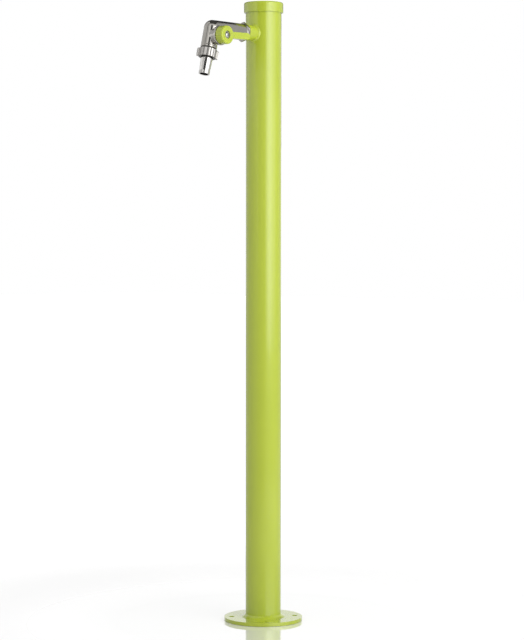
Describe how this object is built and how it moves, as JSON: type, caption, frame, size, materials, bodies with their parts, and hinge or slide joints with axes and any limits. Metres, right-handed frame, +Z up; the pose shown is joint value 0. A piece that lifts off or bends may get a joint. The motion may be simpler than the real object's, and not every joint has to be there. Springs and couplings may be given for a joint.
{
  "type": "garden standpipe",
  "caption": "Lime green steel column on a round foot plate, with a side-lever ball tap near its top, a barbed hose tail held by a union nut, and a water riser inside.",
  "frame": {"origin": "centre of the anchor holes on the underside of the foot plate, on the column's axis", "axes": "+Z up along the column, -Y out along the tap's arm, +X to the side of the lever"},
  "size_m": [0.133, 0.2269, 1.05],
  "materials": {
    "lime_paint": "semi-gloss powder coat",
    "lever_paint": "semi-gloss powder coat",
    "plated_brass": "bright nickel plate",
    "bare_brass": "turned brass",
    "copper": "drawn copper",
    "bare_steel": "galvanised",
    "zinc_steel": "zinc plate",
    "black_rubber": "matte",
    "white_seal": "waxy"
  },
  "bodies": {
    "standpipe": {"column_tube": "lime_paint", "top_cap": "lime_paint", "base_flange": "lime_paint", "foot_weld": "lime_paint", "tap_socket": "lime_paint", "socket_weld": "lime_paint", "inlet_socket": "bare_steel", "inlet_weld": "bare_steel", "inlet_connector": "bare_brass", "lower_olive": "bare_brass", "lower_compression_nut": "bare_brass", "riser_pipe": "copper", "upper_compression_nut": "bare_brass", "upper_olive": "bare_brass", "riser_elbow": "bare_brass", "socket_gasket": "black_rubber", "tap_body": "plated_brass", "outlet_spigot": "plated_brass", "spigot_o_ring": "black_rubber", "upper_seat": "white_seal", "lower_seat": "white_seal", "bonnet": "plated_brass"},
    "lever": {"valve_ball": "plated_brass", "valve_stem": "bare_brass", "stem_o_rings": "black_rubber", "thrust_washer": "white_seal", "lever_handle": "lever_paint", "lever_washer": "zinc_steel", "lever_screw": "zinc_steel"},
    "hose_tail": {"hose_tail": "plated_brass", "union_washer": "black_rubber"},
    "union_nut": {"union_nut": "plated_brass"}
  },
  "joints": [
    {"name": "lever_turn", "type": "hinge", "parent": "standpipe", "child": "lever", "pos_m": [0, -0.13484, 0.98296], "axis": [-1, 0, 0], "range_deg": [0, 90]},
    {"name": "union_travel", "type": "slide", "parent": "standpipe", "child": "hose_tail", "axis": [0, -0.2588, -0.9659], "range_m": [0, 0.00636]},
    {"name": "nut_turn", "type": "hinge", "parent": "hose_tail", "child": "union_nut", "pos_m": [0, -0.1417, 0.95736], "axis": [0, -0.2588, -0.9659], "range_deg": [0, 1260]}
  ],
  "couplings": [
    {"joint": "union_travel", "follows": "nut_turn", "m_per_rad": 0.00028871}
  ]
}
